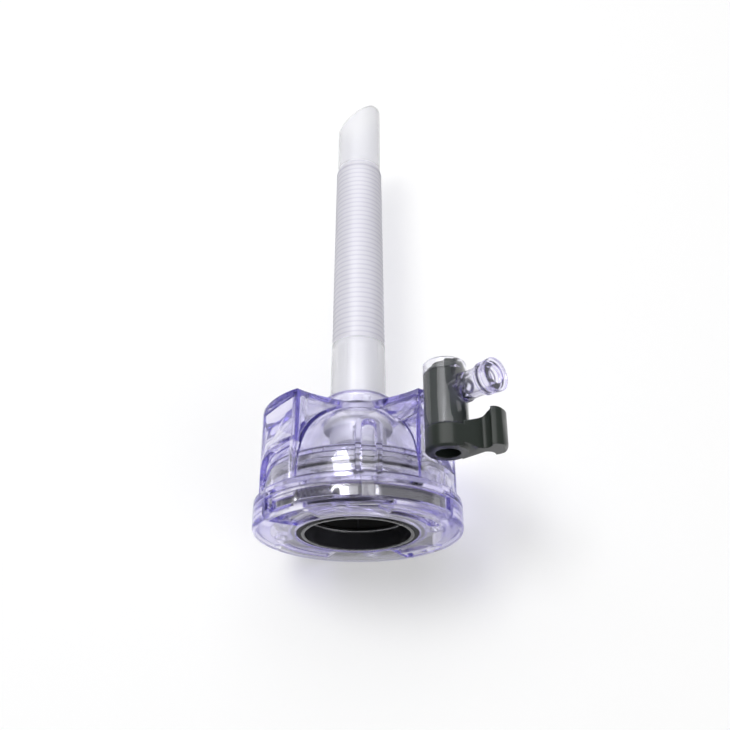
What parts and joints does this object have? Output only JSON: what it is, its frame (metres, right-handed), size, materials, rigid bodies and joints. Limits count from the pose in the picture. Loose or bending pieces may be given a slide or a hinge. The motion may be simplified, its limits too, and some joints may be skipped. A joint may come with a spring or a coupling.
{
  "type": "laparoscopic trocar",
  "caption": "Clear laparoscopic port: bell housing with finger wings, ribbed cannula with bevelled tip, twist-off seal cap, duckbill valve and a gas stopcock.",
  "frame": {"origin": "centre of the instrument port's mouth, in the proximal face of the seal cap", "axes": "+Y along the cannula from the cap to the tip, +X towards the side of the stopcock and the long side of the bevelled tip, +Z towards the front with the sight channel"},
  "size_m": [0.0606, 0.133, 0.0619],
  "materials": {
    "clear_polycarbonate": "clear, polished, faint violet tint",
    "clear_tube": "clear, polished, frosted on the ribs",
    "black_rubber": "smooth satin",
    "white_silicone": "translucent satin",
    "black_plastic": "satin",
    "dark_green_plastic": "glossy, dark olive green"
  },
  "bodies": {
    "housing": {"housing_bell": "clear_polycarbonate", "cannula_tube": "clear_tube", "cannula_o_ring": "black_rubber", "duckbill_valve": "white_silicone", "duckbill_clamp_ring": "clear_polycarbonate", "stopcock_barrel": "clear_polycarbonate"},
    "seal_cap": {"cap_cover": "clear_polycarbonate", "cap_base": "clear_polycarbonate", "instrument_seal": "black_rubber", "cap_gasket": "black_rubber", "port_sleeve": "clear_polycarbonate", "seal_guard_ring": "black_plastic", "seal_guard_leaves": "black_plastic"},
    "valve_plug": {"stopcock_plug": "dark_green_plastic"}
  },
  "joints": [
    {"name": "cap_twist", "type": "hinge", "parent": "housing", "child": "seal_cap", "pos_m": [0, 0, 0], "axis": [0, 1, 0], "range_deg": [0, 25]},
    {"name": "stopcock_turn", "type": "hinge", "parent": "housing", "child": "valve_plug", "pos_m": [0.02094, 0.0278, 0.02169], "axis": [0, 1, 0], "range_deg": [-123, 57]}
  ]
}
